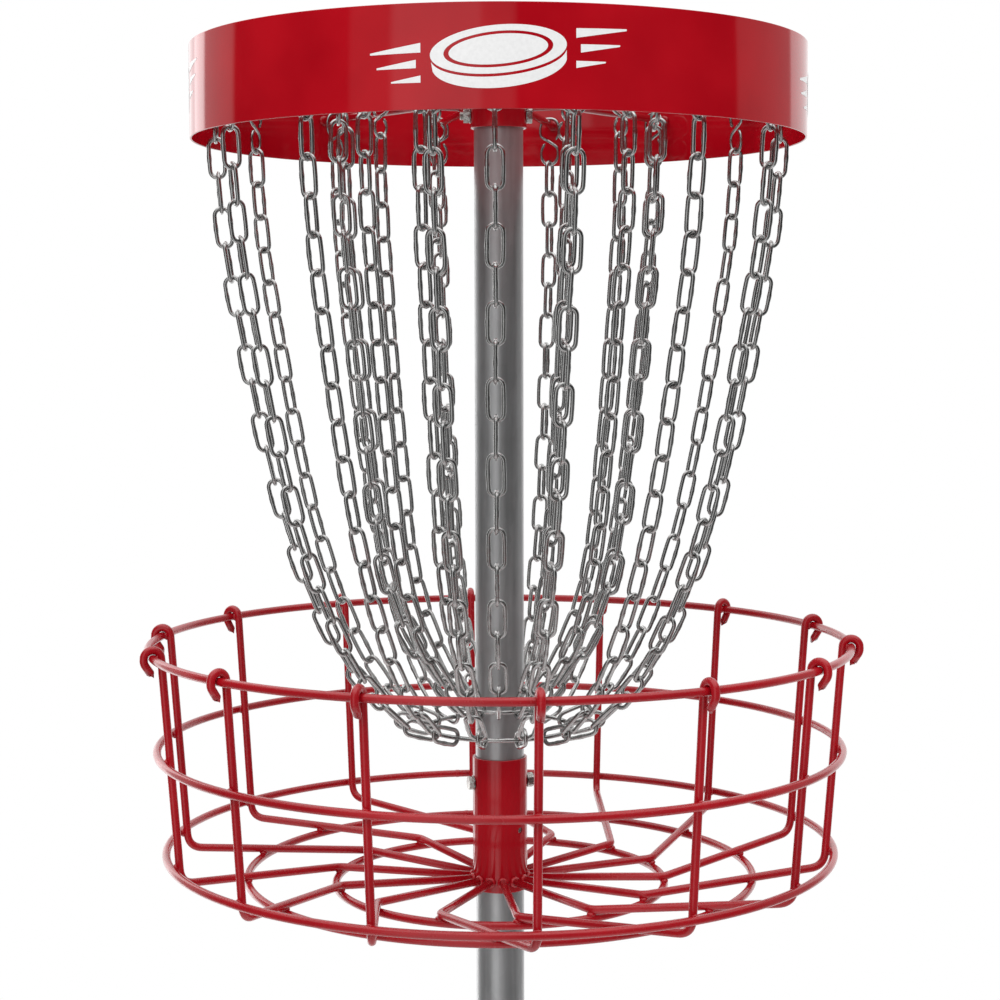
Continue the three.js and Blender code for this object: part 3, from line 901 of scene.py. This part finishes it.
for k in range(N):
    label = f"{k + 1:02d}"
    out = chain_object("outer_chain_" + label, OUTER_PROFILE, ARM_AZ + k * STEP, False, ARM_Z, OUTER_RING_R,
                       OUTER_RING_Z, 1000 + k)
    inn = chain_object("inner_chain_" + label, INNER_PROFILE, INNER_AZ + k * STEP, True, HOOP_Z, INNER_RING_R,
                       INNER_RING_Z, 2000 + k)
print("links and lengths:", out, inn)

for body, cad_node, r, z in (("outer_ring", "outer_chain_ring", OUTER_RING_R, OUTER_RING_Z),
                         ("inner_ring", "inner_chain_ring", INNER_RING_R, INNER_RING_Z)):
    b = Build()
    b.add(*sweep(circle(r, z, 120), CHAIN_RING_WIRE, 14, closed=True))
    joint = math.pi
    b.add(*sweep([polar(r, joint + q / r, z) for q in (-0.002, -0.0008, 0.0008, 0.002)],
                 [CHAIN_RING_WIRE * q for q in (0.97, 1.1, 1.1, 0.97)], 14))
    b.make(cad_node + "_wire", [RING_ZINC], body, [cad_node])


# ---------------------------------------------------------------- floor, light, camera
def make_floor():
    low = cad_bounds[0][2]
    verts, faces, n = [(0, 0, low - 0.001)], [], 96
    rings = (0.3, 0.7, 1.2, 1.9)
    for r in rings:
        verts += [tuple(polar(r, 2 * math.pi * k / n, low - 0.001)) for k in range(n)]
    for k in range(n):
        faces.append((0, 1 + k, 1 + (k + 1) % n))
        for i in range(len(rings) - 1):
            a, c = 1 + i * n, 1 + (i + 1) * n
            faces.append((a + k, c + k, c + (k + 1) % n, a + (k + 1) % n))
    mesh = bpy.data.meshes.new("floor")
    mesh.from_pydata(verts, [], faces)
    floor = bpy.data.objects.new("floor", mesh)
    bpy.context.scene.collection.objects.link(floor)
    m, t, bsdf = new_material("pale_floor")
    obj = node(t, "ShaderNodeTexCoord").outputs["Object"]
    speck = noise(t, obj, 30, 3)
    col = ramp(t, speck.outputs["Fac"], [(0.3, (0.86, 0.86, 0.86)), (0.7, (0.9, 0.9, 0.9))])
    t.links.new(col.outputs["Color"], bsdf.inputs["Base Color"])
    bsdf.inputs["Roughness"].default_value = 0.8
    # it fades out towards its edge
    length = node(t, "ShaderNodeVectorMath", operation="LENGTH")
    flat = node(t, "ShaderNodeVectorMath", operation="MULTIPLY")
    flat.inputs[1].default_value = (1, 1, 0)
    t.links.new(obj, flat.inputs[0])
    t.links.new(flat.outputs["Vector"], length.inputs[0])
    t.links.new(value_range(t, length.outputs["Value"], 1, 0, 0.7, 1.8), bsdf.inputs["Alpha"])
    mesh.materials.append(m)


make_floor()


# What the gloss sees all round: from and to in degrees of azimuth, and how bright
STUDIO = [(-180, -165, 0.95), (-165, -150, 1.5), (-150, -136, 2.4), (-136, -111, 0.6), (-111, -54, 0.03),
          (-54, -38, 0.28), (-38, -6, 0.85), (-6, 6, 0.4), (6, 95, 0.02), (95, 134, 0.36), (134, 180, 1.15)]
STUDIO_PEAK = 2.4


def make_world():
    """White all round to the eye, a studio to the gloss: bright behind, dim in front, dark at the sides."""
    w = bpy.data.worlds.new("studio")
    bpy.context.scene.world = w
    w.use_nodes = True
    t = w.node_tree
    t.nodes.clear()
    out = node(t, "ShaderNodeOutputWorld")
    coords = node(t, "ShaderNodeTexCoord").outputs["Generated"]
    xyz = node(t, "ShaderNodeSeparateXYZ")
    t.links.new(coords, xyz.inputs[0])

    def calc(op, a, b=None):
        m = node(t, "ShaderNodeMath", operation=op)
        for i, v in enumerate((a, b)):
            if v is None:
                continue
            if isinstance(v, (int, float)):
                m.inputs[i].default_value = v
            else:
                t.links.new(v, m.inputs[i])
        return m.outputs[0]

    x, y, z = xyz.outputs
    # azimuth, 0 at the front: -180 degrees is 0 on the ramp and +180 is 1
    azimuth = calc("ARCTAN2", x, calc("MULTIPLY", y, -1))
    place = calc("ADD", calc("DIVIDE", azimuth, 2 * math.pi), 0.5)
    stops = []
    for low, high, level in STUDIO:
        for degrees in (low + 0.8, high - 0.8):
            stops.append((degrees / 360 + 0.5, (level / STUDIO_PEAK,) * 3))
    around = ramp(t, place, stops)
    overhead = ramp(t, calc("MULTIPLY", calc("ADD", z, 1), 0.5),
                    [(0.0, (0.1, 0.1, 0.1)), (0.42, (0.03, 0.03, 0.03)), (0.5, (0.0, 0.0, 0.0)),
                     (0.76, (0.0, 0.0, 0.0)), (0.82, (0.3, 0.3, 0.3)), (0.93, (0.75, 0.75, 0.75)),
                     (1.0, (0.8, 0.8, 0.8))])
    level = calc("MAXIMUM", around.outputs["Color"], overhead.outputs["Color"])
    gloss = calc("MULTIPLY", level, STUDIO_PEAK)
    path = node(t, "ShaderNodeLightPath")
    soft = calc("MULTIPLY", calc("ADD", calc("MULTIPLY", z, 0.35), 0.75), 0.95)
    chosen = node(t, "ShaderNodeMix", data_type="FLOAT")
    t.links.new(path.outputs["Is Glossy Ray"], chosen.inputs[0])
    t.links.new(soft, chosen.inputs[2])
    t.links.new(gloss, chosen.inputs[3])
    seen = node(t, "ShaderNodeMix", data_type="FLOAT")
    t.links.new(path.outputs["Is Camera Ray"], seen.inputs[0])
    t.links.new(chosen.outputs[0], seen.inputs[2])
    seen.inputs[3].default_value = 1.0
    bg = node(t, "ShaderNodeBackground")
    bg.inputs["Color"].default_value = (1, 1, 1, 1)
    t.links.new(seen.outputs[0], bg.inputs["Strength"])
    t.links.new(bg.outputs[0], out.inputs["Surface"])


make_world()


def area(name, place, aim, size, watts, gloss=False):
    light = bpy.data.lights.new(name, "AREA")
    light.shape, light.size, light.energy = "DISK", size, watts
    o = bpy.data.objects.new(name, light)
    bpy.context.scene.collection.objects.link(o)
    o.location = place
    o.rotation_euler = (Vector(aim) - Vector(place)).to_track_quat("-Z", "Y").to_euler()
    o.visible_glossy = gloss
    return o


area("key_left", (-1.6, -2.2, 2.9), (0, 0, 1.0), 1.2, 24, False)
area("fill_right", (2.0, -1.8, 1.6), (0, 0, 1.0), 1.6, 8, False)


def make_camera():
    cam = bpy.data.cameras.new("camera")
    o = bpy.data.objects.new("camera", cam)
    bpy.context.scene.collection.objects.link(o)
    bpy.context.scene.camera = o
    cam.sensor_width, cam.lens = 36, 74.75
    cam.clip_start, cam.clip_end = 0.05, 60
    pitch, yaw, roll = math.radians(4.5), math.radians(0.018), math.radians(-0.13)
    forward = Vector((math.sin(yaw) * math.cos(pitch), math.cos(yaw) * math.cos(pitch), -math.sin(pitch)))
    right = Vector((math.cos(yaw), -math.sin(yaw), 0))
    up = right.cross(forward)
    x = right * math.cos(roll) + up * math.sin(roll)
    y = up * math.cos(roll) - right * math.sin(roll)
    rot = Matrix((x, y, -forward)).transposed().to_4x4()
    o.matrix_world = Matrix.Translation((0, -2.0599, RIM_Z + 0.3038)) @ rot


make_camera()
bpy.context.scene.view_settings.view_transform = "Standard"
bpy.context.scene.view_settings.look = "None"

bpy.context.view_layer.update()
